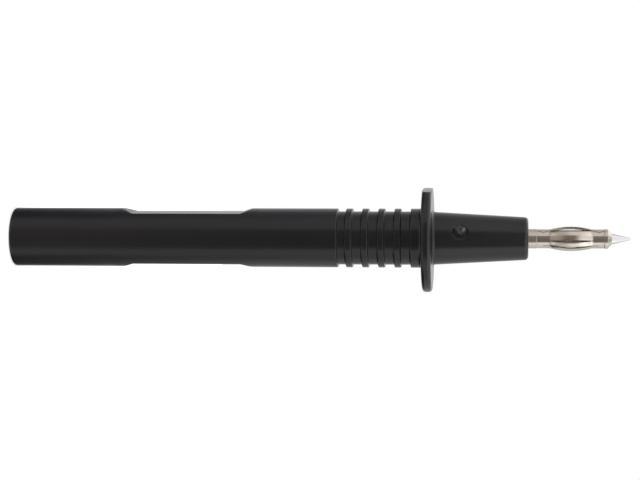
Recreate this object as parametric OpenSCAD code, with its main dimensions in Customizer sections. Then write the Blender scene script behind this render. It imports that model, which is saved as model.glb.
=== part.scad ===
// Test probe: a moulded grip with a finger guard, a sprung 4 mm plug with a needle point in front,
// and a 4 mm socket in its rear end. All sizes are in millimetres.
// The probe stands on its rear face: z = 0 is that face, and +Z runs along the axis to the needle point.
// Angles are counted about +Z from +X. The barrel's two flats face +X and -X, and the guard's faces -X.

/* [Barrel] */
// Diameter of the round barrel, the grip ribs and the collar
barrel_d = 10.6; // [9.5:0.1:13]
// Length of the barrel from the rear face to the first groove
barrel_len = 59.4; // [48:0.2:72]
// Radius of the rear edge
rear_edge_r = 0.5; // [0.2:0.05:0.8]

/* [Flats] */
// Depth of each flat below the barrel's surface
flat_depth = 0.72; // [0.3:0.02:1]
// Height at which the lower ramps begin
flat_start = 20.3; // [10:0.1:24]
// Length of a flat with both of its ramps
flat_len = 23.5; // [16:0.1:24]
// Length of the ramp at each end of a flat
ramp_len = 1.9; // [1:0.1:4]

/* [Grip ribs] */
// Number of ribs
rib_count = 4; // [1:1:6]
// Distance from one rib to the next
rib_pitch = 2.9; // [2.2:0.1:4]
// Width of a rib at half its height
rib_w = 1.25; // [1:0.05:1.5]
// Depth of the grooves beside the ribs
groove_depth = 0.52; // [0.3:0.02:0.8]
// Width of the first groove at half its depth
first_groove_w = 1.4; // [1:0.05:2.5]
// How far each flank of a rib leans over from crest to root
flank_lean = 0.15; // [0.05:0.05:0.3]
// Radius of the rib crests' edges
crest_r = 0.15; // [0.05:0.05:0.25]
// Radius in the corners of the grooves
root_r = 0.1; // [0.05:0.05:0.15]

/* [Finger guard] */
// Length of the collar behind the guard
collar_len = 2.1; // [1.2:0.1:4]
// Diameter of the guard disc
guard_d = 19.3; // [15:0.1:24]
// Thickness of the guard disc
guard_t = 1.78; // [1.4:0.02:3]
// Radius of the guard's rim edges
guard_edge_r = 0.6; // [0.2:0.05:0.65]
// Distance from the axis to the flat on the guard's rim
guard_flat = 8.7; // [7.1:0.1:11.8]
// Radius of the fillets at the foot of the guard
guard_fillet_r = 0.6; // [0.2:0.05:0.8]

/* [Nose] */
// Length of the nose in front of the guard
nose_len = 17.05; // [14:0.05:22]
// How far the nose starts below the barrel's surface
nose_step = 0.55; // [0.3:0.05:0.8]
// Diameter of the nose at its front end
nose_tip_d = 7.6; // [6.4:0.1:7.7]
// Radius of the nose's front edge
nose_edge_r = 0.65; // [0.2:0.05:0.9]

/* [Gate mark] */
// Distance of the gate mark from the guard's front face
gate_dist = 5.0; // [3:0.1:10]
// Direction in which the gate mark faces
gate_angle = 250.5; // [0:0.5:360]
// Diameter of the gate's round recess
gate_d = 2.9; // [2.6:0.1:3.4]
// Depth of the gate's recess
gate_depth = 0.35; // [0.1:0.05:0.5]
// Radius of the broken stump's rear lobe
rear_lobe_r = 0.6; // [0.3:0.05:0.65]
// Radius of its front lobe
front_lobe_r = 0.5; // [0.3:0.05:0.6]
// Distance from one lobe's middle to the other's
lobe_pitch = 1.0; // [0.6:0.05:1.1]
// How far the lobes lie to one side of the recess's middle
lobe_side = 0.82; // [0.4:0.02:0.9]
// How far the stump's blunt point lies to the other side
stump_reach = 0.75; // [0.3:0.05:1.1]
// Width of this blunt point
stump_end_w = 0.25; // [0.1:0.05:0.4]

/* [Plug] */
// Diameter of the contact stem
pin_d = 3.5; // [2.9:0.05:4.2]
// Length of bare stem between the nose and the cage
bare_len = 1.5; // [0.8:0.05:4]
// Length of the collar in front of the cage
front_collar_len = 0.6; // [0.3:0.05:1.5]
// Width of the rim round the needle at the stem's front face
needle_rim = 0.07; // [0.04:0.01:0.15]
// Radius of the stem's collar edges beside the cage
collar_edge_r = 0.06; // [0.02:0.01:0.08]

/* [Lantern cage] */
// Thickness of the spring sheet
sheet_t = 0.15; // [0.1:0.01:0.2]
// Length of the closed cuff at the rear
rear_cuff_len = 1.05; // [0.6:0.05:2]
// Length of the closed cuff at the front
front_cuff_len = 0.9; // [0.6:0.05:2]
// Length of the slots between the cuffs
slot_len = 9.85; // [8.2:0.05:12]
// Number of slots besides the seam's
slot_count = 6; // [4:1:7]
// Angle from one of these slots to the next
slot_pitch = 45; // [40:1:50]
// Width of the slots at the cuffs
slot_w = 0.12; // [0.08:0.01:0.2]
// Width of the slots where the slats bow out most
slot_belly_w = 0.5; // [0.25:0.01:0.7]
// Length over which the slots and the seam widen
swell_len = 7.7; // [6:0.1:8]
// Length over which the slats bow out
bow_len = 8.0; // [6.5:0.1:8.2]
// Height of the bow above the cuffs
bow_h = 0.49; // [0.3:0.01:0.6]
// Radius of the bends at both ends of the bow
end_bend_r = 2.5; // [1:0.1:4]
// Direction of the sheet's seam
seam_angle = 209.5; // [0:0.1:360]
// Width of the seam across the cuffs
seam_w = 0.12; // [0.06:0.01:0.2]
// Width of the seam's slot where the slats bow out most
seam_belly_w = 1.4; // [0.5:0.05:1.6]
// How far the seam steps sideways at the inner edge of each cuff
seam_step = 0.45; // [0:0.05:0.6]

/* [Needle] */
// Diameter of the needle
needle_d = 1.94; // [1.5:0.01:2.35]
// Angle between the needle's cone and its axis
needle_angle = 13.5; // [8:0.5:20]
// Radius of the needle's point
point_r = 0.2; // [0.05:0.05:0.3]
// Length of the needle's shank inside the stem
shank_len = 8; // [4:0.5:10]

/* [Rear socket] */
// Bore of the socket, for a 4 mm plug
socket_d = 4.0; // [3.3:0.05:4.8]
// Depth of the socket's bore
socket_depth = 20.5; // [16:0.5:24]
// Diameter of the socket sleeve
sleeve_d = 6.0; // [5.5:0.1:7.2]
// Thickness of the sleeve's closed end
sleeve_end_t = 4.5; // [3:0.1:8]
// How far the sleeve's rim lies behind the rear face
sleeve_recess = 1.0; // [0.8:0.1:2]
// How far the handle's mouth stands clear of the socket's bore
mouth_gap = 0.4; // [0.2:0.05:0.45]
// Size of the chamfer at the handle's mouth
mouth_chamfer = 0.6; // [0.3:0.05:0.75]
// Size of the chamfer at the socket's rim
rim_chamfer = 0.35; // [0.1:0.05:0.4]
// Diameter of the stem's tail in the sleeve's closed end
tail_d = 2.5; // [2:0.1:2.8]

/* [Anchor grooves] */
// Depth of the grooves that lock the metal in the moulding
anchor_depth = 0.25; // [0.1:0.05:0.3]
// Width of these grooves
anchor_w = 1.2; // [0.8:0.1:1.5]
// Distance between the two grooves on each metal piece
anchor_pitch = 4.0; // [2.5:0.1:6]
// Distance of the middle between the sleeve's grooves from its rim
sleeve_anchor_dist = 10.25; // [5:0.25:20]
// Distance of the middle between the stem's grooves from the nose's front
stem_anchor_dist = 5.7; // [4:0.1:11]

/* [Fits] */
// Running clearance between the cage's cuffs and their seat, on the radius
cage_clearance = 0.035; // [0.015:0.005:0.08]
// End play of the cage between its two collars
cage_play = 0.1; // [0.04:0.02:0.2]
// How far the cuffs lie below the stem's surface
cuff_inset = 0.04; // [0:0.01:0.08]

/* [Hidden] */
$fn = 96;
// Steps in which a rounded corner, a bow and a slot's side are drawn
arc_steps = 6;
bow_steps = 20;
slot_steps = 11;
// Overlap by which a cut runs past the face that it opens
past = 1;

barrel_r = barrel_d / 2;
groove_r = barrel_r - groove_depth;
first_rib_z = barrel_len + first_groove_w + rib_w / 2;
last_rib_z = first_rib_z + (rib_count - 1) * rib_pitch;
collar_z = last_rib_z + rib_pitch - rib_w / 2;
guard_z = collar_z + collar_len;
nose_z = guard_z + guard_t;
front_z = nose_z + nose_len;
nose_base_r = barrel_r - nose_step;
gate_z = nose_z + gate_dist;
gate_r = nose_base_r + (nose_tip_d / 2 - nose_base_r) * gate_dist / nose_len;

sleeve_top_z = sleeve_recess + socket_depth + sleeve_end_t;
tail_z = sleeve_recess + socket_depth;
mouth_r = socket_d / 2 + mouth_gap;
sleeve_anchor_z = sleeve_recess + sleeve_anchor_dist;
stem_anchor_z = front_z - stem_anchor_dist;

pin_r = pin_d / 2;
seat_r = pin_r - cuff_inset - sheet_t - cage_clearance;
cuff_r = pin_r - cuff_inset;
cage_len = rear_cuff_len + slot_len + front_cuff_len;
seat_z = front_z + bare_len;
cage_z = seat_z + cage_play / 2;
seat_end_z = seat_z + cage_len + cage_play;
collar_end_z = seat_end_z + front_collar_len;
stem_front_r = needle_d / 2 + needle_rim;
stem_front_z = collar_end_z + pin_r - stem_front_r;

// The bow is one long arc between two short arcs that bend the other way and meet it without a kink.
bow_half = bow_len / 2;
bow_radii = (bow_half ^ 2 + bow_h ^ 2) / (2 * bow_h);
crown_r = bow_radii - end_bend_r;
crown_half = bow_half * crown_r / bow_radii;
bow_mid = rear_cuff_len + slot_len / 2;
// The slots lie evenly round the side of the sleeve that faces away from the seam.
first_slot = (360 - (slot_count - 1) * slot_pitch) / 2;

needle_r = needle_d / 2;
point_z = stem_front_z + (needle_r - point_r * cos(needle_angle)) / tan(needle_angle)
    + point_r * (1 - sin(needle_angle));

function unit(v) = v / norm(v);
function plane(corner) = [corner[0], corner[1]];
function nearest_turn(a) = a > 180 ? a - 360 : a < -180 ? a + 360 : a;

// The arc that takes the place of the corner [r, z, radius] between its two neighbours
function corner_arc(before, corner, after) =
    let (
        v = plane(corner),
        u = unit(plane(before) - v),
        w = unit(plane(after) - v),
        half = acos(u * w) / 2,
        centre = v + unit(u + w) * corner[2] / sin(half),
        start = v + u * corner[2] / tan(half) - centre,
        end = v + w * corner[2] / tan(half) - centre,
        a = atan2(start[1], start[0]),
        turn = nearest_turn(atan2(end[1], end[0]) - a)
    )
    [
        for (k = [0:arc_steps])
            let (b = a + turn * k / arc_steps)
            centre + corner[2] * [cos(b), sin(b)]
    ];

// An outline of [r, z, radius] corners with every corner rounded by its radius
function rounded(outline) =
    [
        for (i = [0:len(outline) - 1])
            let (corner = outline[i])
            each corner[2] == 0
                ? [plane(corner)]
                : corner_arc(
                    outline[(i + len(outline) - 1) % len(outline)],
                    corner,
                    outline[(i + 1) % len(outline)]
                )
    ];

module turned(outline) {
    rotate_extrude() polygon(rounded(outline));
}

// Pushes a flat shape out along the direction angle: its x runs round the axis and its y along it
module through_wall(angle, from, reach) {
    rotate([0, 0, angle])
        translate([from, 0, 0])
            rotate([90, 0, 90])
                linear_extrude(height = reach) children();
}

// Corners of one rib, from root to root
function rib(z) =
    let (root_half = (rib_w + flank_lean) / 2, crest_half = (rib_w - flank_lean) / 2)
    [
        [groove_r, z - root_half, root_r],
        [barrel_r, z - crest_half, crest_r],
        [barrel_r, z + crest_half, crest_r],
        [groove_r, z + root_half, root_r]
    ];

module handle_outside() {
    turned([
        [0, 0, 0],
        [barrel_r, 0, rear_edge_r],
        [barrel_r, barrel_len - flank_lean / 2, crest_r],
        [groove_r, barrel_len + flank_lean / 2, root_r],
        for (i = [0:rib_count - 1]) each rib(first_rib_z + i * rib_pitch),
        [groove_r, collar_z - flank_lean / 2, root_r],
        [barrel_r, collar_z + flank_lean / 2, crest_r],
        [barrel_r, guard_z, guard_fillet_r],
        [guard_d / 2, guard_z, guard_edge_r],
        [guard_d / 2, nose_z, guard_edge_r],
        [nose_base_r, nose_z, guard_fillet_r],
        [nose_tip_d / 2, front_z, nose_edge_r],
        [0, front_z, 0]
    ]);
}

// What is taken away for the flat on the +X side, with a ramp at each end
module flat_cut() {
    run = ramp_len * (1 + past / flat_depth);
    low = flat_start + ramp_len - run;
    high = flat_start + flat_len - ramp_len + run;
    rotate([90, 0, 0])
        linear_extrude(height = barrel_d + 2 * past, center = true)
            polygon([
                [barrel_r + past, low],
                [barrel_r - flat_depth, low + run],
                [barrel_r - flat_depth, high - run],
                [barrel_r + past, high]
            ]);
}

// What is taken away for the flat on the guard's rim, on the -X side
module guard_cut() {
    translate([-guard_d - guard_flat, -guard_d / 2, guard_z - past])
        cube([guard_d, guard_d, guard_t + 2 * past]);
}

// Places a flat shape on the nose where the gate was and pushes it out from below the recess's floor
module at_gate(below) {
    through_wall(gate_angle, gate_r - gate_depth - below, gate_depth + past)
        translate([0, gate_z]) children();
}

// The stump left where the sprue broke off: two lobes above a blunt point
module gate_stump() {
    rear = -lobe_pitch / 2;
    front = lobe_pitch / 2;
    translate([-lobe_side, rear]) circle(rear_lobe_r);
    translate([-lobe_side, front]) circle(front_lobe_r);
    polygon([
        [-lobe_side, rear - rear_lobe_r],
        [stump_reach, -stump_end_w / 2],
        [stump_reach, stump_end_w / 2],
        [-lobe_side, front + front_lobe_r]
    ]);
}

// A shaft with two grooves that the moulding fills
function anchors(r, z) =
    [
        for (k = [-0.5, 0.5])
            let (low = z + k * anchor_pitch - anchor_w / 2)
            each [
                [r, low, 0],
                [r - anchor_depth, low, 0],
                [r - anchor_depth, low + anchor_w, 0],
                [r, low + anchor_w, 0]
            ]
    ];

module sleeve_outside() {
    turned([
        [0, sleeve_recess, 0],
        [sleeve_d / 2, sleeve_recess, 0],
        each anchors(sleeve_d / 2, sleeve_anchor_z),
        [sleeve_d / 2, sleeve_top_z, 0],
        [0, sleeve_top_z, 0]
    ]);
}

module stem_outside() {
    turned([
        [0, tail_z, 0],
        [tail_d / 2, tail_z, 0],
        [tail_d / 2, sleeve_top_z, 0],
        [pin_r, sleeve_top_z, 0],
        each anchors(pin_r, stem_anchor_z),
        [pin_r, seat_z, collar_edge_r],
        [seat_r, seat_z, 0],
        [seat_r, seat_end_z, 0],
        [pin_r, seat_end_z, collar_edge_r],
        [pin_r, collar_end_z, 0],
        [stem_front_r, stem_front_z, 0],
        [0, stem_front_z, 0]
    ]);
}

module needle_outside() {
    turn = 90 - needle_angle;
    rotate_extrude()
        polygon([
            [0, stem_front_z - shank_len],
            [needle_r, stem_front_z - shank_len],
            [needle_r, stem_front_z],
            for (k = [0:arc_steps])
                let (a = needle_angle + turn * k / arc_steps)
                [point_r * cos(a), point_z - point_r + point_r * sin(a)]
        ]);
}

// Moulded in one piece round the sleeve and the stem
module handle() {
    color([0.16, 0.16, 0.17])
        difference() {
            union() {
                difference() {
                    handle_outside();
                    flat_cut();
                    mirror([1, 0, 0]) flat_cut();
                    guard_cut();
                    at_gate(0) circle(d = gate_d);
                }
                at_gate(past) gate_stump();
            }
            sleeve_outside();
            stem_outside();
            translate([0, 0, -past])
                cylinder(r = mouth_r, h = sleeve_recess + 2 * past);
            translate([0, 0, -past])
                cylinder(r1 = mouth_r + mouth_chamfer + past, r2 = mouth_r, h = mouth_chamfer + past);
        }
}

// Turned brass sleeve that takes the lead's plug
module socket_sleeve() {
    color([0.78, 0.76, 0.7])
        difference() {
            sleeve_outside();
            translate([0, 0, sleeve_recess - past])
                cylinder(d = socket_d, h = socket_depth + past);
            translate([0, 0, sleeve_recess - past])
                cylinder(
                    r1 = socket_d / 2 + rim_chamfer + past,
                    r2 = socket_d / 2,
                    h = rim_chamfer + past
                );
            translate([0, 0, tail_z - past])
                cylinder(d = tail_d, h = sleeve_end_t + 2 * past);
        }
}

// Turned brass stem that carries the current from the sleeve to the cage and the needle
module contact_stem() {
    color([0.75, 0.74, 0.7])
        difference() {
            stem_outside();
            translate([0, 0, stem_front_z - shank_len])
                cylinder(d = needle_d, h = shank_len + past);
        }
}

// Rise of the slats above the cuffs at the distance d from the middle of the bow
function bow_rise(d) =
    abs(d) <= crown_half ? bow_h - crown_r + sqrt(crown_r ^ 2 - d ^ 2)
    : abs(d) < bow_half ? end_bend_r - sqrt(end_bend_r ^ 2 - (bow_half - abs(d)) ^ 2)
    : 0;

// Line along the sheet's outer face, from the rear cuff's edge to the front one's
function sheet_line() =
    [
        [cuff_r, 0],
        for (k = [0:bow_steps])
            let (d = bow_half * (2 * k / bow_steps - 1))
            [cuff_r + bow_rise(d), bow_mid + d],
        [cuff_r, cage_len]
    ];

function reversed(list) = [for (i = [len(list) - 1:-1:0]) list[i]];

// One side of a slot along the bow: an arc on which the slot widens from end_w to belly_w and back
function swell(end_w, belly_w) =
    let (
        half = swell_len / 2,
        rise = (belly_w - end_w) / 2,
        side_r = (half ^ 2 + rise ^ 2) / (2 * rise)
    )
    [
        for (k = [0:slot_steps])
            let (d = half * (2 * k / slot_steps - 1))
            [belly_w / 2 - side_r + sqrt(side_r ^ 2 - d ^ 2), d]
    ];

// One side of a slot, from its middle line at one round end to that at the other
function slot_side() =
    let (half = slot_w / 2, end = slot_len / 2 - half)
    [
        for (k = [0:arc_steps])
            let (a = 90 * k / arc_steps)
            [half * sin(a), -end - half * cos(a)],
        each swell(slot_w, slot_belly_w),
        for (k = [0:arc_steps])
            let (a = 90 * k / arc_steps)
            [half * cos(a), end + half * sin(a)]
    ];

module slot_shape() {
    side = slot_side();
    polygon([each side, for (i = [len(side) - 2:-1:1]) [-side[i][0], side[i][1]]]);
}

// One side of the seam, from past the rear cuff's edge to past the front one's. Where it has narrowed it
// steps sideways to the cuffs, and back to their edges. The side is -1 or 1.
function seam_line(side) =
    let (half = side * seam_w / 2, end = slot_len / 2)
    [
        [half - seam_step * past / rear_cuff_len, -end - rear_cuff_len - past],
        [half + seam_step, -end],
        for (p = swell(seam_w, seam_belly_w)) [side * p[0], p[1]],
        [half + seam_step, end],
        [half - seam_step * past / front_cuff_len, end + front_cuff_len + past]
    ];

module seam_shape() {
    polygon([each seam_line(1), each reversed(seam_line(-1))]);
}

// Slotted spring sheet, rolled into a sleeve and snapped into its seat, where it turns freely
module lantern_cage() {
    outer = sheet_line();
    inner = [for (p = outer) p - [sheet_t, 0]];
    from = seat_r / 2;
    reach = cuff_r + bow_h + past;
    color([0.82, 0.8, 0.74])
        translate([0, 0, cage_z])
            difference() {
                rotate_extrude() polygon([each outer, each reversed(inner)]);
                for (k = [0:slot_count - 1])
                    through_wall(seam_angle + first_slot + k * slot_pitch, from, reach)
                        translate([0, bow_mid]) slot_shape();
                through_wall(seam_angle, from, reach)
                    translate([0, bow_mid]) seam_shape();
            }
}

// Stainless needle, pressed into the stem
module needle_tip() {
    color([0.86, 0.86, 0.87]) needle_outside();
}

handle();
socket_sleeve();
contact_stem();
lantern_cage();
needle_tip();
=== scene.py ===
import math

import bmesh
import bpy
import numpy as np
from mathutils import Matrix, Vector


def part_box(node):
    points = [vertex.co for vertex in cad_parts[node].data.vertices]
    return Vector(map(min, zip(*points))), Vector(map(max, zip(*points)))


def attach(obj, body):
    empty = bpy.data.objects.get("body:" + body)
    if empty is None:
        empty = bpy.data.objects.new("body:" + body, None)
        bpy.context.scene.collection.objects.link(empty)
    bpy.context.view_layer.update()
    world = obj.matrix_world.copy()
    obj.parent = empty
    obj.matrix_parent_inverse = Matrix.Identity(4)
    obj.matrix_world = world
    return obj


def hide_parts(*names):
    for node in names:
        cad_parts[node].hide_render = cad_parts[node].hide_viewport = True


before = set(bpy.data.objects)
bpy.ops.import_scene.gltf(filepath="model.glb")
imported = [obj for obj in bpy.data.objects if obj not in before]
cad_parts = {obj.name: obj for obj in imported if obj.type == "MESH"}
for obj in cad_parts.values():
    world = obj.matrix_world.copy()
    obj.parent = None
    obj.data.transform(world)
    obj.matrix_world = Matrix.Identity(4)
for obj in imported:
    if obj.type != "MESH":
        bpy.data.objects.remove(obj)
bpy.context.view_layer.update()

# All lengths below are in millimetres until a mesh is made, which takes them to metres.
MM = 0.001


def node_height(node):
    """Lowest and highest z of a CAD node, in millimetres."""
    low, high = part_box(node)
    return low.z / MM, high.z / MM


sleeve_rim_z, sleeve_top_z = node_height("socket_sleeve")
tail_z, stem_front_z = node_height("contact_stem")
cage_z, _ = node_height("lantern_cage")
shank_z, point_z = node_height("needle_tip")

# Barrel, flats and ribs
barrel_r = 5.3
rear_edge_r = 0.5
barrel_len = 59.4
flat_depth = 0.72
flat_start = 20.3
flat_len = 23.5
ramp_len = 1.9
flat_edge_soft = 0.1
groove_depth = 0.52
first_groove_w = 1.4
rib_count = 4
rib_pitch = 2.9
rib_w = 1.25
flank_lean = 0.15
crest_r = 0.15
root_r = 0.06

# Finger guard and nose
collar_len = 2.1
guard_r = 9.65
guard_t = 1.78
guard_edge_r = 0.6
guard_flat = 8.7
guard_flat_soft = 0.08
guard_fillet_r = 0.6
nose_len = 17.05
nose_step = 0.55
nose_tip_r = 3.8
nose_edge_r = 0.65

# Gate mark, and the broken stump in it
gate_dist = 5.0
gate_angle = 249.0
gate_r = 1.45
gate_depth = 0.35
gate_wall = 0.3
gate_edge = 0.04
rear_lobe_r = 0.65
front_lobe_r = 0.55
lobe_pitch = 1.1
lobe_side = 0.9
stump_reach = 0.55
stump_end_r = 0.125
stump_soft = 0.15
stump_wall = (-0.12, 0.08)

# Top of the stump, whose heights and depths are shares of the recess's depth. The places of its marks are
# (across, along) from the middle of the gate mark, and they fade out between two distances from there
top_start = -1.2
top_run = 1.9
top_low = 0.38
top_rise = 0.6
pit_place = (-0.55, -0.05)
pit_fade = (0.1, 0.3)
pit_depth = 0.5
ridge_place = (-0.5, 0.72)
ridge_fade = (0.1, 0.4)
ridge_height = 0.25
furrow_lean = 0.25
furrow_fade = (0.05, 0.25)
furrow_depth = 0.15
torn_height = 0.05
torn_waves = (7, 6)

# Rear mouth, socket and anchor grooves
mouth_r = 2.4
mouth_chamfer = 0.6
mouth_edge_r = 0.08
sleeve_r = 3.0
socket_r = 2.0
socket_depth = 20.5
rim_chamfer = 0.35
tail_r = 1.25
sleeve_anchor_dist = 10.25
stem_anchor_dist = 5.7
anchor_depth = 0.25
anchor_w = 1.2
anchor_pitch = 4.0
sleeve_edge_r = 0.05
sleeve_mouth_r = 0.04
bore_edge_r = 0.08
bore_end_r = 0.1

# Contact stem, lantern cage and needle
pin_r = 1.75
bare_len = 1.5
front_collar_len = 0.6
needle_rim = 0.07
collar_edge_r = 0.06
stem_edge_r = 0.03
cone_base_edge_r = 0.05
cone_tip_edge_r = 0.02
cage_clearance = 0.035
cage_play = 0.1
cuff_inset = 0.04
sheet_t = 0.15
rear_cuff_len = 1.05
front_cuff_len = 0.9
slot_len = 9.85
slot_turns = np.array([67.5, 102.0, 148.0, 192.2, 237.5, 283.5])
slot_count = len(slot_turns)
slot_w = 0.12
slot_belly_w = 0.5
swell_len = 7.7
bow_len = 8.0
bow_h = 0.49
end_bend_r = 2.5
seam_angle = 208.4
seam_w = 0.12
seam_belly_w = 1.4
seam_step = 0.45
needle_r = 0.97
needle_angle = math.radians(13.5)
point_r = 0.2

flat_half_turn = math.degrees(math.acos(1 - flat_depth / barrel_r))
groove_r = barrel_r - groove_depth
first_rib_z = barrel_len + first_groove_w + rib_w / 2
collar_z = first_rib_z + rib_count * rib_pitch - rib_w / 2
guard_z = collar_z + collar_len
nose_z = guard_z + guard_t
front_z = nose_z + nose_len
nose_base_r = barrel_r - nose_step
socket_end_z = sleeve_rim_z + socket_depth
sleeve_anchor_z = sleeve_rim_z + sleeve_anchor_dist
stem_anchor_z = front_z - stem_anchor_dist
cuff_r = pin_r - cuff_inset
seat_r = cuff_r - sheet_t - cage_clearance
seat_z = front_z + bare_len
cage_len = rear_cuff_len + slot_len + front_cuff_len
seat_end_z = seat_z + cage_len + cage_play
collar_end_z = seat_end_z + front_collar_len
stem_front_r = needle_r + needle_rim
gate_z = nose_z + gate_dist

# How finely the meshes follow the round forms. The cuffs' rows are counted from the cage's two ends
round_steps = 160
metal_steps = 128
arc_steps = 6
slat_steps = 16
bow_rows = 72
slot_end_rows = 6
point_rows = 10
gate_columns = 70
gate_row_pitch = 0.05
gate_margin = 0.3
held_len = 0.03
rear_cuff_rows = np.array([0, 0.04, 0.5, 1.0])
front_cuff_rows = np.array([0.85, 0.45, 0.04, 0])

# How far apart points still count as one, and how long an edge may be that counts as none, in metres
same_point = 2e-7
no_length = 1e-8

# Angles past which faces meet in a crease, in degrees
crease = 25
cage_crease = 35


def rounded(outline):
    """Rounds an outline of (r, z, radius) corners: each corner with a radius becomes the arc that touches
    both of its sides, with a point held on each side just before it, so that the shading stays flat there.
    The arc's centre lies radius / sin(half the corner's angle) along the line that halves the corner."""
    points = []
    corners = np.array(outline, float)
    for i, (r, z, radius) in enumerate(corners):
        here = np.array([r, z])
        if radius == 0:
            points.append(here)
            continue
        back = corners[i - 1, :2] - here
        ahead = corners[(i + 1) % len(corners), :2] - here
        back_room, ahead_room = np.linalg.norm(back), np.linalg.norm(ahead)
        u, w = back / back_room, ahead / ahead_room
        half = math.acos(float(u @ w)) / 2
        centre = here + (u + w) / np.linalg.norm(u + w) * radius / math.sin(half)
        reach = radius / math.tan(half)
        start, end = here + u * reach - centre, here + w * reach - centre
        first, last = math.atan2(start[1], start[0]), math.atan2(end[1], end[0])
        turn = (last - first + math.pi) % (2 * math.pi) - math.pi
        angles = first + turn * np.linspace(0, 1, arc_steps + 1)
        points.append(here + u * min(reach + held_len, (reach + back_room) / 2))
        points.extend(centre + radius * np.stack([np.cos(angles), np.sin(angles)], 1))
        points.append(here + w * min(reach + held_len, (reach + ahead_room) / 2))
    return np.array(points)


def grid_faces(rows, columns, wrap=False):
    """Four-sided faces of a grid of points that goes once round the axis, numbered row by row. They face
    outwards where the columns run anticlockwise and the rows run from the rear to the front. With wrap,
    the last row joins the first."""
    i = np.arange(rows if wrap else rows - 1)[:, None]
    j = np.arange(columns)[None, :]
    below, above = i * columns, (i + 1) % rows * columns
    here, beside = j, (j + 1) % columns
    corners = (below + here, below + beside, above + beside, above + here)
    return np.stack([np.broadcast_to(c, (i.size, j.size)) for c in corners], -1).reshape(-1, 4)


def made_mesh(name, points, faces, sharp_deg, body):
    """A smooth-shaded piece from points in millimetres, with its doubles merged and its creases kept
    sharp where its faces meet at more than sharp_deg. It rides on body."""
    mesh = bpy.data.meshes.new(name)
    mesh.from_pydata((points.reshape(-1, 3) * MM).tolist(), [], faces.tolist())
    work = bmesh.new()
    work.from_mesh(mesh)
    bmesh.ops.remove_doubles(work, verts=work.verts, dist=same_point)
    bmesh.ops.dissolve_degenerate(work, edges=work.edges, dist=no_length)
    work.to_mesh(mesh)
    work.free()
    mesh.shade_smooth()
    mesh.set_sharp_from_angle(angle=math.radians(sharp_deg))
    piece = bpy.data.objects.new(name, mesh)
    bpy.context.scene.collection.objects.link(piece)
    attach(piece, body)
    return piece


def turned(outline, wrap=False):
    """Points and faces of a turned piece of metal: each (r, z) of the outline is carried once round the
    axis, to (r cos(angle), r sin(angle), z)."""
    angle = np.arange(metal_steps) * 2 * math.pi / metal_steps
    r, z = outline[:, :1], outline[:, 1:]
    points = np.stack([r * np.cos(angle), r * np.sin(angle), z + 0 * angle], -1)
    return points, grid_faces(len(outline), metal_steps, wrap)


def soft_min(a, b, soft):
    """The smaller of two values, with the crease between them rounded where they differ by less than soft:
    there n^2 soft / 4 comes off, where n falls from 1 to 0 as they part."""
    near = np.clip(1 - np.abs(a - b) / soft, 0, 1)
    return np.minimum(a, b) - near * near * soft / 4


def smooth_step(low, high, x):
    """Rises from 0 at low to 1 at high with level ends: 3t^2 - 2t^3."""
    t = np.clip((x - low) / (high - low), 0, 1)
    return t * t * (3 - 2 * t)


def anchors(r, z):
    """Outline of the two grooves round a shaft of radius r, in which the moulding grips it."""
    points = []
    for middle in (z - anchor_pitch / 2, z + anchor_pitch / 2):
        low, high = middle - anchor_w / 2, middle + anchor_w / 2
        points += [(r, low, 0), (r - anchor_depth, low, 0), (r - anchor_depth, high, 0), (r, high, 0)]
    return points


def rib(z):
    """Outline of one grip rib, from root to root."""
    root_half, crest_half = (rib_w + flank_lean) / 2, (rib_w - flank_lean) / 2
    return [
        (groove_r, z - root_half, root_r),
        (barrel_r, z - crest_half, crest_r),
        (barrel_r, z + crest_half, crest_r),
        (groove_r, z + root_half, root_r),
    ]


def nose_cone_r(z):
    """Radius of the bare nose cone at the height z."""
    return nose_base_r + (nose_tip_r - nose_base_r) * (z - nose_z) / nose_len


# Rows of points along the flats' ramps, counted from where a ramp begins, and across the gate mark
ramp_rows = np.concatenate([[-1.5, -1.0, -0.6, -0.3, -0.15], ramp_len * np.linspace(0, 1, 11) ** 2])
ramp_end_rows = ramp_len + np.array([-0.12, -0.06, 0.06, 0.12, 0.2])
low_rows = np.unique(np.round(np.concatenate([ramp_rows, ramp_end_rows]), 4))
flat_middle = flat_start + flat_len / 2
high_rows = 2 * flat_middle - flat_start - low_rows[::-1]
flat_rows = np.concatenate([flat_start + low_rows, [flat_middle], high_rows])
gate_reach = gate_r + gate_margin
gate_rows = np.arange(-gate_reach, gate_reach + gate_row_pitch / 5, gate_row_pitch) + gate_z


def handle_outline():
    """Closed outline of the handle's section: up the outside from the mouth to the front, and back down
    through the seats of the stem and the sleeve."""
    inside = [
        (mouth_r, mouth_chamfer, 0),
        (mouth_r, sleeve_rim_z, 0),
        (sleeve_r, sleeve_rim_z, 0),
        *anchors(sleeve_r, sleeve_anchor_z),
        (sleeve_r, sleeve_top_z, 0),
        (pin_r, sleeve_top_z, 0),
        *anchors(pin_r, stem_anchor_z),
        (pin_r, front_z, 0),
    ]
    outside = [
        (mouth_r + mouth_chamfer, 0, mouth_edge_r),
        (barrel_r, 0, rear_edge_r),
        *((barrel_r, z, 0) for z in flat_rows),
        (barrel_r, barrel_len - flank_lean / 2, crest_r),
        (groove_r, barrel_len + flank_lean / 2, root_r),
        *(corner for i in range(rib_count) for corner in rib(first_rib_z + i * rib_pitch)),
        (groove_r, collar_z - flank_lean / 2, root_r),
        (barrel_r, collar_z + flank_lean / 2, crest_r),
        (barrel_r, guard_z, guard_fillet_r),
        (guard_r, guard_z, guard_edge_r),
        (guard_r, nose_z, guard_edge_r),
        (nose_base_r, nose_z, guard_fillet_r),
        *((nose_cone_r(z), z, 0) for z in gate_rows),
        (nose_tip_r, front_z, nose_edge_r),
    ]
    return rounded(outside + inside[::-1])


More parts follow.
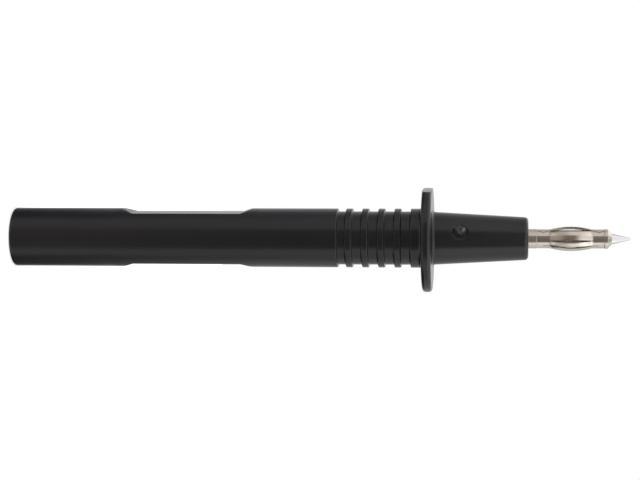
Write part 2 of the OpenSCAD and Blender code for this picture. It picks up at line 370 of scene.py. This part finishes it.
def flat_distance(z):
    """Distance from the axis to a flat and its two ramps at the height z, rounded where they meet."""
    slope = flat_depth / ramp_len
    ramps = np.maximum(flat_start - z, z - flat_start - flat_len) * slope + barrel_r
    return -soft_min(-ramps, np.full_like(z, flat_depth - barrel_r), flat_edge_soft)


def handle_columns():
    """Angles of the handle's columns in degrees: even all round, closer beside the edges of the barrel's
    flats and of the guard's, and across the gate mark."""
    even = np.arange(round_steps) * 360 / round_steps
    close = np.array([-1.1, -0.7, -0.35, 0, 0.35, 0.7, 1.1])
    guard_close = np.array([-0.8, -0.4, 0, 0.4, 0.8, 2, 4, 6.5])
    guard_edge = math.degrees(math.acos(guard_flat / guard_r)) - guard_close
    edges = [side + sign * flat_half_turn + close for side in (0, 180) for sign in (-1, 1)]
    edges = np.concatenate([*edges, 180 - guard_edge, 180 + guard_edge]) % 360
    reach = math.degrees(gate_reach / nose_cone_r(gate_z))
    gate = gate_angle + np.linspace(-reach, reach, gate_columns)
    edge_room, gate_room = 0.6, 0.5
    from_edges = np.min(np.abs((even[:, None] - edges + 180) % 360 - 180), axis=1)
    keep = (np.abs(even - gate_angle) > reach + gate_room) & (from_edges > edge_room)
    return np.sort(np.concatenate([even[keep], edges, gate]))


def beside_flats(columns, z):
    """Moves the columns so that two of them run along each edge of the flats: in each half, the angles
    within the flat's half-width are scaled to it, and those outside it fill what is left to a quarter
    turn."""
    full = flat_half_turn
    narrow, run_out = 1.5, 1.5
    distance = np.clip(flat_distance(z) / barrel_r, 0, 1)
    width = np.maximum(np.degrees(np.arccos(distance)), narrow)
    apart = np.maximum(np.maximum(flat_start - z, z - flat_start - flat_len), 0)
    width = np.where(apart > 0, narrow + (full - narrow) * np.clip(apart / run_out, 0, 1), width)[:, None]
    turn = (columns + 90) % 180 - 90
    inner = turn * width / full
    outer = np.sign(turn) * (90 - (90 - np.abs(turn)) * (90 - width) / (90 - full))
    return columns - turn + np.where(np.abs(turn) <= full, inner, outer)


def stump(across, along):
    """Where the broken stump stands in the recess, from 0 to 1, and how much of its height is left there:
    two lobes that taper to one blunt point, each the points nearer to a line than a radius that shrinks
    along it. The top slopes up to the point, with a pit, a torn ridge and a furrow between the lobes."""
    point = np.array([stump_reach, 0.0])
    far = np.full(across.shape, np.inf)
    for side, r in ((-1, rear_lobe_r), (1, front_lobe_r)):
        start = np.array([-lobe_side, side * lobe_pitch / 2])
        run = point - start
        t = np.clip(((across - start[0]) * run[0] + (along - start[1]) * run[1]) / (run @ run), 0, 1)
        gap = np.hypot(across - start[0] - t * run[0], along - start[1] - t * run[1])
        far = soft_min(far, gap - r - (stump_end_r - r) * t, stump_soft)
    pit = 1 - smooth_step(*pit_fade, np.hypot(across - pit_place[0], along - pit_place[1]))
    ridge = 1 - smooth_step(*ridge_fade, np.hypot(across - ridge_place[0], along - ridge_place[1]))
    furrow = 1 - smooth_step(*furrow_fade, np.abs(along + furrow_lean * across))
    torn = torn_height * np.sin(torn_waves[0] * across + 1) * np.sin(torn_waves[1] * along)
    slope = top_low + top_rise * np.clip((across - top_start) / top_run, 0, 1)
    height = slope - pit_depth * pit + ridge_height * ridge - furrow_depth * furrow + torn
    return 1 - smooth_step(*stump_wall, far), height


def with_gate_mark(x, y, z):
    """Sinks the round gate mark into the nose: within its radius the surface drops to a flat floor, and
    out of that the stump stands as high as the nose. x, y and z are the bare cone's points."""
    a = math.radians(gate_angle)
    out = x * math.cos(a) + y * math.sin(a)
    across = y * math.cos(a) - x * math.sin(a)
    along = z - gate_z
    near = (out > 0) & (np.abs(along) < gate_reach)
    inside = near * (1 - smooth_step(gate_r - gate_wall, gate_r + gate_edge, np.hypot(across, along)))
    floor = nose_cone_r(gate_z) - gate_depth
    sunk = out + (np.minimum(floor, out) - out) * inside
    there, share = stump(across, along)
    shift = sunk + np.maximum(floor + gate_depth * share - sunk, 0) * there * near - out
    return x + shift * math.cos(a), y + shift * math.sin(a), z


def handle_mesh():
    """The whole grip: its outline turned round the axis, cut by the barrel's two flats and the guard's one,
    with the gate mark sunk in. A flat at a distance d from the axis cuts the radius to d / cos(angle)."""
    outline = handle_outline()
    r, z = outline[:, :1], outline[:, 1]
    close, beyond, least_facing = 0.01, 1.6, 0.2
    end_room, wall_room = 1, 0.5
    outer = r[:, 0] > barrel_r - close
    columns = handle_columns()
    by_flat = outer & (z > flat_start - beyond) & (z < flat_start + flat_len + beyond)
    angle = np.radians(np.where(by_flat[:, None], beside_flats(columns, z), columns))
    facing = np.maximum(np.abs(np.cos(angle)), least_facing)
    cut = soft_min(r + 0 * angle, flat_distance(z)[:, None] / facing, flat_edge_soft)
    r = np.where(by_flat[:, None], cut, r + 0 * angle)
    on_guard = (z > guard_z - close) & (z < nose_z + close)
    cut = soft_min(r, guard_flat / np.maximum(-np.cos(angle), least_facing), guard_flat_soft)
    r = np.where(on_guard[:, None], cut, r)
    x, y, z = r * np.cos(angle), r * np.sin(angle), z[:, None] + 0 * angle
    marked = with_gate_mark(x, y, z)
    on_nose = (outline[:, 1] > nose_z + end_room) & (outline[:, 1] < front_z - end_room)
    on_nose = on_nose & (outline[:, 0] > pin_r + wall_room)
    points = np.where(on_nose[:, None, None], np.stack(marked, -1), np.stack([x, y, z], -1))
    return points, grid_faces(len(outline), len(columns), wrap=True)


def sleeve_outline():
    """Closed outline of the rear socket's sleeve: up its outside and back down its bore."""
    return rounded([
        (socket_r + rim_chamfer, sleeve_rim_z, sleeve_mouth_r),
        (sleeve_r, sleeve_rim_z, sleeve_edge_r),
        *anchors(sleeve_r, sleeve_anchor_z),
        (sleeve_r, sleeve_top_z, sleeve_edge_r),
        (tail_r, sleeve_top_z, 0),
        (tail_r, socket_end_z, 0),
        (socket_r, socket_end_z, bore_end_r),
        (socket_r, sleeve_rim_z + rim_chamfer, bore_edge_r),
    ])


def stem_outline():
    """Outline of the contact stem from its tail to the cone in front, and down the needle's hole."""
    return rounded([
        (0, tail_z, 0),
        (tail_r, tail_z, stem_edge_r),
        (tail_r, sleeve_top_z, 0),
        (pin_r, sleeve_top_z, stem_edge_r),
        *anchors(pin_r, stem_anchor_z),
        (pin_r, seat_z, collar_edge_r),
        (seat_r, seat_z, stem_edge_r),
        (seat_r, seat_end_z, stem_edge_r),
        (pin_r, seat_end_z, collar_edge_r),
        (pin_r, collar_end_z, cone_base_edge_r),
        (stem_front_r, stem_front_z, cone_tip_edge_r),
        (needle_r, stem_front_z, 0),
        (needle_r, shank_z, 0),
        (0, shank_z, 0),
    ])


def needle_outline():
    """Outline of the needle: its shank, its long cone and the ball of its point."""
    angles = np.linspace(needle_angle, math.pi / 2, point_rows)
    ball = np.stack([point_r * np.cos(angles), point_z - point_r + point_r * np.sin(angles)], 1)
    held = (needle_r - held_len * math.tan(needle_angle), stem_front_z + held_len)
    shank = [(0, shank_z), (needle_r, shank_z), (needle_r, stem_front_z)]
    return np.array([*shank, held, *ball[:-1], (0, point_z)])


def bow_rise(d):
    """Rise of a slat above the cuffs at the distance d from the bow's middle: one long arc between two
    short ones that bend the other way and meet it, and the cuffs, without a kink. The two radii together
    are (half^2 + rise^2) / (2 rise) of the bow."""
    half = bow_len / 2
    radii = (half**2 + bow_h**2) / (2 * bow_h)
    crown_r = radii - end_bend_r
    d = np.abs(d)
    crown = bow_h - crown_r + np.sqrt(np.maximum(crown_r**2 - d**2, 0))
    end = end_bend_r - np.sqrt(np.maximum(end_bend_r**2 - np.maximum(half - d, 0) ** 2, 0))
    return np.where(d <= half * crown_r / radii, crown, end)


def swell(d, end_w, belly_w):
    """Half of the width that widens along an arc from end_w to belly_w, at the distance d from its middle.
    The arc's radius is (half^2 + rise^2) / (2 rise)."""
    rise = (belly_w - end_w) / 2
    side_r = ((swell_len / 2) ** 2 + rise**2) / (2 * rise)
    return np.maximum(belly_w / 2 - side_r + np.sqrt(np.maximum(side_r**2 - d**2, 0)), end_w / 2)


def slot_half_gap(d):
    """Half of a slot's width at the distance d from its middle, down to nothing at its round ends."""
    half = slot_w / 2
    into_end = np.clip(slot_len / 2 - np.abs(d), 0, half)
    return np.where(into_end < half, np.sqrt(into_end * (slot_w - into_end)), swell(d, slot_w, slot_belly_w))


def seam_middle(d):
    """How far the seam's middle line lies to one side at the distance d from the bow's middle: it steps
    sideways to the inner edge of each cuff, and back to the cuff's outer edge."""
    end = slot_len / 2
    turns = [-end - rear_cuff_len, -end, -swell_len / 2, swell_len / 2, end, end + front_cuff_len]
    return np.interp(d, turns, [0, seam_step, 0, 0, seam_step, 0])


def cage_rows():
    """Heights of the cage's rows above its rear end: even along the bow, closer at the slots' round ends,
    and one at each place where the seam or a slot's side turns."""
    middle = rear_cuff_len + slot_len / 2
    round_end = slot_w / 2 * (1 - np.cos(np.linspace(0, math.pi / 2, slot_end_rows)))
    cuffs = np.concatenate([rear_cuff_rows, cage_len - front_cuff_rows])
    ends = np.concatenate([slot_len / 2 - round_end, [swell_len / 2]])
    bow = np.linspace(slot_w - slot_len / 2, slot_len / 2 - slot_w, bow_rows)
    return np.unique(np.round(np.concatenate([cuffs, middle - ends, middle + ends, middle + bow]), 5))


def slat_sides(d, r):
    """Angles of each slat's two sides at the distances d from the bow's middle and the radii r: a list of
    pairs. The first slat begins at the seam and the last one ends there. The sides of a slot run parallel."""
    slots = np.radians(seam_angle + slot_turns)
    half, middle, seam_half = slot_half_gap(d), seam_middle(d), swell(d, seam_w, seam_belly_w)
    lows = [math.radians(seam_angle) + np.arcsin((middle + seam_half) / r)]
    lows += [slot + np.arcsin(half / r) for slot in slots]
    highs = [slot - np.arcsin(half / r) for slot in slots]
    highs += [math.radians(seam_angle + 360) + np.arcsin((middle - seam_half) / r)]
    return list(zip(lows, highs))


def cage_mesh():
    """The slotted sleeve as one closed sheet. Each slat spans from one slot to the next at every height,
    its outer and inner face are two grids a sheet's thickness apart, and walls close it at the slots,
    along the seam and at both ends. In the cuffs the slats' sides meet, but for the seam."""
    z = cage_rows()
    d = z - rear_cuff_len - slot_len / 2
    outer_r = cuff_r + bow_rise(d)
    share = np.linspace(0, 1, slat_steps + 1)
    layers = []
    for r in (outer_r, outer_r - sheet_t):
        sides = slat_sides(d, r)
        angle = np.concatenate([low[:, None] + (high - low)[:, None] * share for low, high in sides], 1)
        across, up = r[:, None] * np.cos(angle), r[:, None] * np.sin(angle)
        layers.append(np.stack([across, up, z[:, None] + 0 * angle], -1))
    points = np.stack(layers)
    points[..., 2] += cage_z
    rows, columns = points.shape[1:3]
    count = rows * columns
    i, j = np.arange(rows - 1)[:, None], np.arange(columns)[None, :]
    j = j[:, np.arange(columns) % (slat_steps + 1) < slat_steps]
    here, up = i * columns + j, (i + 1) * columns + j
    outer = np.stack([here, here + 1, up + 1, up], -1).reshape(-1, 4)
    faces = [outer, outer[:, ::-1] + count]
    open_row = slot_half_gap(d) > 0
    for k in range(slot_count + 1):
        first = k * (slat_steps + 1)
        for column, on_seam in ((first, k == 0), (first + slat_steps, k == slot_count)):
            i = np.flatnonzero(on_seam | open_row[:-1] | open_row[1:])
            low, high = i * columns + column, (i + 1) * columns + column
            wall = np.stack([low, high, high + count, low + count], -1)
            faces.append(wall if column == first else wall[:, ::-1])
        for row in (0, rows - 1):
            j = row * columns + first + np.arange(slat_steps)
            cap = np.stack([j, j + 1, j + 1 + count, j + count], -1)
            faces.append(cap[:, ::-1] if row == 0 else cap)
    return points, np.concatenate(faces)


class Value:
    """A shader socket on which Python's operators build Math nodes."""

    def __init__(self, tree, socket):
        self.tree, self.socket = tree, socket

    def maths(self, operation, *others):
        """This value, and others after it, put through one Math node."""
        return self.tree.maths(operation, self, *others)

    def __add__(self, other):
        return self.maths("ADD", other)

    __radd__ = __add__

    def __sub__(self, other):
        return self.maths("SUBTRACT", other)

    def __rsub__(self, other):
        return self.tree.maths("SUBTRACT", other, self)

    def __mul__(self, other):
        return self.maths("MULTIPLY", other)

    __rmul__ = __mul__

    def rise(self, low, high):
        """0 below low, 1 above high, and a soft step between them."""
        made = self.tree.add(
            "ShaderNodeMapRange",
            {"interpolation_type": "SMOOTHSTEP"},
            {"Value": self, "From Min": low, "From Max": high},
        )
        return Value(self.tree, made.outputs["Result"])

    def band(self, start, full, fading, gone):
        """1 from full to fading, and 0 before start and past gone, with soft steps between."""
        return self.rise(start, full) * (1 - self.rise(fading, gone))

    def steps(self, level, *changes):
        """A level to which each change, a (share, low, high), adds its share along a soft step."""
        made = level
        for share, low, high in changes:
            made = made + share * self.rise(low, high)
        return made


class Shader:
    """A node tree that is built by one method."""

    def __init__(self, owner):
        owner.use_nodes = True
        self.nodes, self.links = owner.node_tree.nodes, owner.node_tree.links
        self.nodes.clear()

    def add(self, kind, settings=None, inputs=None):
        """A node of a kind, with its settings made first and then its inputs set or linked."""
        node = self.nodes.new(kind)
        for name, value in (settings or {}).items():
            setattr(node, name, value)
        pairs = inputs.items() if isinstance(inputs, dict) else enumerate(inputs or [])
        for name, value in pairs:
            if isinstance(value, Value):
                self.links.new(value.socket, node.inputs[name])
            elif isinstance(value, bpy.types.NodeSocket):
                self.links.new(value, node.inputs[name])
            else:
                node.inputs[name].default_value = value
        return node

    def maths(self, operation, *values):
        """One Math node on values and numbers."""
        return Value(self, self.add("ShaderNodeMath", {"operation": operation}, list(values)).outputs[0])

    def place(self, scale):
        """The point on the piece, in millimetres times scale along each axis."""
        where = self.add("ShaderNodeTexCoord").outputs["Object"]
        per_metre = [s / MM for s in scale]
        return self.add("ShaderNodeMapping", None, {"Vector": where, "Scale": per_metre}).outputs[0]

    def noise(self, scale, detail, rough=0.5):
        """Noise between 0 and 1 whose grain is one over scale, in millimetres, along each axis."""
        made = self.add(
            "ShaderNodeTexNoise",
            {"noise_dimensions": "3D"},
            {"Vector": self.place(scale), "Scale": 1.0, "Detail": detail, "Roughness": rough},
        )
        return Value(self, made.outputs["Fac"])

    def mixed(self, share, low, high):
        """The colour low where share is 0 and high where it is 1."""
        made = self.add(
            "ShaderNodeMix",
            {"data_type": "RGBA"},
            {"Factor": share, "A": (*low, 1) if isinstance(low, tuple) else low, "B": (*high, 1)},
        )
        return made.outputs["Result"]

    def bump(self, height, distance):
        """A normal from a height of 0 to 1 that stands for distance, in millimetres."""
        inputs = {"Height": height, "Distance": distance * MM, "Strength": 1.0}
        return self.add("ShaderNodeBump", None, inputs).outputs["Normal"]


def finish(name, make):
    """A material of that name, whose main shader's inputs come from make(shader)."""
    material = bpy.data.materials.new(name)
    shader = Shader(material)
    surface = shader.add("ShaderNodeBsdfPrincipled", None, make(shader))
    shader.add("ShaderNodeOutputMaterial", None, {"Surface": surface.outputs[0]})
    return material


# Colours of the finishes, with painted shade and a painted highlight for the gate mark, from darker to paler,
# in linear light
moulded_black = (0.0060, 0.0062, 0.0078), (0.0085, 0.0086, 0.0102)
# The colour of the gate mark's floor is painted shade
gate_floor_painted_shade = (0.0010, 0.0010, 0.0014)
# A paler tone on the stump in the gate mark
pale_stump_grey = (0.030, 0.030, 0.035)
# The grey of the stump's crest is a painted highlight
crest_painted_highlight = (0.15, 0.15, 0.165)
stem_nickel = (0.62, 0.58, 0.505), (0.70, 0.66, 0.58)
cage_nickel = (0.63, 0.59, 0.515), (0.71, 0.67, 0.59)
needle_steel = (0.66, 0.66, 0.67), (0.76, 0.76, 0.77)

# Spots in the gate mark that differ in tone, with painted shade on the floor and in the pits and a painted
# highlight at the crest: the place, as (across, along) from its middle, the distance from there up to which
# the tone is full, and that past which it's gone
# Painted shade on the floor of the recess, beside the stump
painted_shade_floor = (0.45, -0.3), 0.8, 1.25
pale_stump = (-0.4, 0.0), 0.6, 1.1
# A painted highlight on the stump's crest
painted_highlight_crest = (-0.42, 0.72), 0.1, 0.6
# Painted shade in the stump's pits, which keeps them black
front_pit_shade = (-0.5, 0.05), 0.08, 0.3
rear_pit_shade = (-0.87, -0.55), 0.08, 0.3


def gate_spot(s, place, core, rim):
    """1 within core of a place in the gate mark, 0 past rim."""
    across, along = place
    a, r = math.radians(gate_angle), nose_cone_r(gate_z)
    middle = (r * math.cos(a) - across * math.sin(a), r * math.sin(a) + across * math.cos(a), gate_z + along)
    apart = s.add("ShaderNodeVectorMath", {"operation": "DISTANCE"}, [s.place((1, 1, 1)), middle])
    return 1 - Value(s, apart.outputs["Value"]).rise(core, rim)


def black_polyamide(s):
    """Satin black moulding: a fine spark-eroded grain, a slight long wave, and roughness that varies. In the
    gate mark the floor is darkened with painted shade. The stump is paler, but its pits stay black as painted
    shade, and its crest is palest, where a highlight is painted."""
    grain = s.noise((9, 9, 9), detail=3)
    wave = s.noise((0.5, 0.5, 0.25), detail=1)
    cloud = s.noise((0.22, 0.22, 0.1), detail=3)
    # Painted shade: the pits stay black, without the stump's paler tone
    pit_shade = gate_spot(s, *front_pit_shade) + gate_spot(s, *rear_pit_shade)
    pale = gate_spot(s, *pale_stump) - pit_shade
    # The floor of the gate mark is darkened with painted shade
    sunk = s.mixed(gate_spot(s, *painted_shade_floor), s.mixed(cloud, *moulded_black), gate_floor_painted_shade)
    torn = s.mixed(pale, sunk, pale_stump_grey)
    return {
        # The stump's crest is lightened with a painted highlight
        "Base Color": s.mixed(gate_spot(s, *painted_highlight_crest), torn, crest_painted_highlight),
        "Roughness": 0.18 + 0.08 * grain + 0.06 * cloud + 0.25 * pale.maths("MAXIMUM", 0.0),
        "Normal": s.bump(grain * 0.5 + wave * 2.0, 0.004),
    }


def turned_nickel(s):
    """Nickel plate on turned brass: fine tool lines round the axis and a warm, slightly clouded tone."""
    lines = s.noise((0.4, 0.4, 26), detail=3, rough=0.7)
    cloud = s.noise((0.9, 0.9, 0.9), detail=2)
    return {
        "Base Color": s.mixed(cloud, *stem_nickel),
        "Metallic": 1.0,
        "Roughness": 0.16 + 0.12 * lines,
        "Normal": s.bump(lines, 0.0012),
    }


def spring_nickel(s):
    """Nickel plate on rolled spring sheet: fine lines along the slats, a little brighter than the stem."""
    lines = s.noise((14, 14, 0.5), detail=3, rough=0.6)
    cloud = s.noise((0.7, 0.7, 0.5), detail=2)
    return {
        "Base Color": s.mixed(cloud, *cage_nickel),
        "Metallic": 1.0,
        "Roughness": 0.14 + 0.1 * lines,
        "Normal": s.bump(lines, 0.0008),
    }


def ground_steel(s):
    """Ground stainless steel: grinding lines round the needle, cool and bright."""
    lines = s.noise((0.5, 0.5, 34), detail=3, rough=0.7)
    return {
        "Base Color": s.mixed(lines, *needle_steel),
        "Metallic": 1.0,
        "Roughness": 0.16 + 0.12 * lines,
        "Normal": s.bump(lines, 0.0010),
    }


def make_probe():
    """Builds the five pieces, each in the place of its CAD node. The sleeve and the stem share a finish."""
    plastic, nickel = finish("black_polyamide", black_polyamide), finish("nickel_brass", turned_nickel)
    spring, steel = finish("nickel_spring", spring_nickel), finish("stainless_needle", ground_steel)
    sleeve, stem = turned(sleeve_outline(), wrap=True), turned(stem_outline())
    pieces = (
        ("grip", "handle", handle_mesh(), crease, "probe", "black_polyamide", plastic),
        ("rear_socket", "socket_sleeve", sleeve, crease, "probe", "nickel_brass", nickel),
        ("stem", "contact_stem", stem, crease, "probe", "nickel_brass", nickel),
        ("spring_cage", "lantern_cage", cage_mesh(), cage_crease, "cage", "nickel_spring", spring),
        ("needle", "needle_tip", turned(needle_outline()), crease, "probe", "stainless_needle", steel),
    )
    for name, node, (points, faces), sharp_deg, body, slot, material in pieces:
        piece = made_mesh(name, points, faces, sharp_deg, body)
        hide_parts(node)
        piece.data.materials.append(material)


# The camera, worked out from the photo: lengths in millimetres, pixels of the 640 by 480 picture
picture_w = 640
focal_px = 1887
sensor_mm = 36
aim_z = 56.02
aim_below_px = 2.2
camera_out = 338.3
camera_z = 90.05
camera_angle = math.radians(263.65)
roll = math.radians(0.24)


def make_camera():
    """The photo's camera: level with the cage, and rolled a quarter turn so that the probe lies across
    the view."""
    out = Vector((math.cos(camera_angle), math.sin(camera_angle), 0))
    place = out * camera_out + Vector((0, 0, camera_z))
    axis = Vector((0, 0, 1))
    up = axis.cross(-out)
    aim = Vector((0, 0, aim_z)) - up * aim_below_px * camera_out / focal_px
    ahead = (aim - place).normalized()
    right = (axis - ahead * axis.dot(ahead)).normalized()
    up = right.cross(ahead)
    right, up = right * math.cos(roll) + up * math.sin(roll), up * math.cos(roll) - right * math.sin(roll)
    data = bpy.data.cameras.new("camera")
    data.sensor_width = sensor_mm
    data.lens = sensor_mm * focal_px / picture_w
    data.clip_start, data.clip_end = 0.01, 10
    camera = bpy.data.objects.new("camera", data)
    camera.matrix_world = Matrix.Translation(place * MM) @ Matrix((right, up, -ahead)).transposed().to_4x4()
    bpy.context.scene.collection.objects.link(camera)
    bpy.context.scene.camera = camera


# The table top and the surroundings: the floor's radius in metres, its colour and its glow to the camera,
# the plain level of the light, and how far the dark side lies from -Y towards -X, in radians
floor_r = 0.25
floor_steps = 96
floor_white = (0.9, 0.9, 0.9, 1)
floor_glow = 0.45
plain_level = 0.95
dark_side_turn = 0.1108
white = (1, 1, 1, 1)

# The light that the gloss shows. A height is the z of a direction, from -1 straight below to 1 straight
# above, and a turn is counted in radians about the probe's axis from the dark side, towards +X. A light is a
# level and the steps that add to it, each (share, low, high). A band comes between its first two places and
# goes between its last two
dimmer_side = 0.80, (-0.22, 1.1, 1.7), (0.34, 2.1, 3.0)
dimmer_above = 0, (0.42, 0.22, 0.42)
bright_side = 1.08, (-0.28, 1.05, 1.8), (-0.20, 1.9, 2.3), (0.40, 2.5, 3.0)
side_change = (-0.02, 0.02)
overhead = 0, (0.25, 0.5, 0.65), (-0.60, 0.88, 0.98)

# What both sides lose just below the level of the camera, and far below
below_start = (-0.40, -0.28)
below_end = 1, (-0.25, -0.22, -0.17), (-0.75, -0.09, 0.03)
below_last_turn = (1.95, 2.35)
dimmer_loss = 0.40, (0.15, 1.5, 1.8)
bright_loss = 0.50, (-0.45, 1.5, 1.9)
far_below_end = (-0.22, -0.18)
far_below_turns = (1.2, 1.6, 2.4, 2.9)
dimmer_far_loss = 0.75
bright_far_loss = 0.95

# The dark side, with a paler line at the level of the camera, and the soft box
dark_turns = (-0.66, -0.51, 0.72, 0.86)
dark_by_height = 0.36, (-0.22, -0.26, -0.12), (-0.06, -0.12, 0.0), (0.88, 0.15, 0.27)
dark_by_turn = 0.04, (-0.04, -0.3, 0.2)
pale_line = 0.09
pale_line_heights = (-0.04, 0.0, 0.05, 0.10)
soft_box = 0, (0.65, 0.15, 0.32)
soft_box_fade = 1, (-0.8, 0.36, 0.46)
soft_box_turns = (-0.2, 0.4, 1.5, 1.9)

# Tints of the light: plain, a trace of pink on the dimmer side, and warm on the dark side up to a height
plain_tint = (1.0, 1.0, 1.0)
pink_tint = (1.02, 0.975, 1.0)
pink_end_turn = (-0.3, 0.5)
warm_tint = (1.10, 0.95, 0.87)
warm_end = (0.05, 0.15)


def make_floor():
    """A round white table top under the probe, which shows white to the camera but for the probe's shadow."""
    angle = np.arange(floor_steps) * 2 * math.pi / floor_steps
    rim = np.stack([floor_r * np.cos(angle), floor_r * np.sin(angle), 0 * angle], 1)
    mesh = bpy.data.meshes.new("floor")
    mesh.from_pydata(rim.tolist(), [], [list(range(floor_steps))])
    floor = bpy.data.objects.new("floor", mesh)
    bpy.context.scene.collection.objects.link(floor)
    material = bpy.data.materials.new("table_top")
    s = Shader(material)
    path = s.add("ShaderNodeLightPath").outputs
    seen = s.maths("MAXIMUM", path["Is Camera Ray"], path["Is Glossy Ray"])
    seen = seen.maths("MAXIMUM", path["Is Transmission Ray"])
    matt = s.add("ShaderNodeBsdfDiffuse", None, {"Color": floor_white}).outputs[0]
    glow = s.add("ShaderNodeEmission", None, {"Color": white, "Strength": seen * floor_glow}).outputs[0]
    both = s.add("ShaderNodeAddShader", None, [matt, glow]).outputs[0]
    s.add("ShaderNodeOutputMaterial", None, {"Surface": both})
    mesh.materials.append(material)
    floor.visible_glossy = False


def light_of_sides(turn, z):
    """Level of the light on the dimmer side, -X, which is up in the photo, and on the brighter one, +X. Each
    is the light at that turn, less its loss just below the level of the camera and its loss far below."""
    away = turn.maths("ABSOLUTE")
    below = z.steps(*below_end) * z.rise(*below_start) * (1 - away.rise(*below_last_turn))
    far_below = (1 - z.rise(*far_below_end)) * away.band(*far_below_turns)
    dimmer = away.steps(*dimmer_side) * (1 - below * away.steps(*dimmer_loss))
    dimmer = dimmer * (1 - dimmer_far_loss * far_below) + z.steps(*dimmer_above)
    bright = away.steps(*bright_side) * (1 - below * away.steps(*bright_loss))
    bright = bright * (1 - bright_far_loss * far_below)
    return dimmer + (bright - dimmer) * turn.rise(*side_change)


def studio(s, x, y, z):
    """Colour and level of the light that the gloss shows from the direction (x, y, z): the two sides, the
    dark side between them, which is behind the camera, a soft box over the brighter side, and the light
    from overhead."""
    turn = x.maths("ARCTAN2", y * -1.0) + dark_side_turn
    sides = light_of_sides(turn, z)
    on_dark_side = turn.band(*dark_turns)
    dark = z.steps(*dark_by_height) + turn.steps(*dark_by_turn) + pale_line * z.band(*pale_line_heights)
    box = z.steps(*soft_box) * z.steps(*soft_box_fade) * turn.band(*soft_box_turns)
    tint = s.mixed(1 - turn.rise(*pink_end_turn), plain_tint, pink_tint)
    colour = s.mixed(on_dark_side * (1 - z.rise(*warm_end)), tint, warm_tint)
    return colour, sides + (dark - sides) * on_dark_side + box + z.steps(*overhead)


def make_surroundings():
    """White all round to the camera, and plain light on the matt surfaces. The gloss shows a studio, which
    is dark behind the camera."""
    world = bpy.data.worlds.new("studio")
    bpy.context.scene.world = world
    s = Shader(world)
    where = s.add("ShaderNodeTexCoord").outputs["Generated"]
    x, y, z = (Value(s, v) for v in s.add("ShaderNodeSeparateXYZ", None, [where]).outputs)
    path = s.add("ShaderNodeLightPath").outputs
    glossy = s.maths("MAXIMUM", path["Is Glossy Ray"], path["Is Transmission Ray"])
    colour, level = studio(s, x, y, z)
    shown = s.add("ShaderNodeBackground", None, {"Color": colour, "Strength": level}).outputs[0]
    plain = s.add("ShaderNodeBackground", None, {"Color": white, "Strength": plain_level}).outputs[0]
    backdrop = s.add("ShaderNodeBackground", None, {"Color": white, "Strength": 1.0}).outputs[0]
    light = s.add("ShaderNodeMixShader", None, [glossy, plain, shown]).outputs[0]
    seen = s.add("ShaderNodeMixShader", None, [path["Is Camera Ray"], light, backdrop]).outputs[0]
    s.add("ShaderNodeOutputWorld", None, {"Surface": seen})


bpy.context.scene.view_settings.view_transform = "Standard"
make_camera()
make_probe()
make_floor()
make_surroundings()
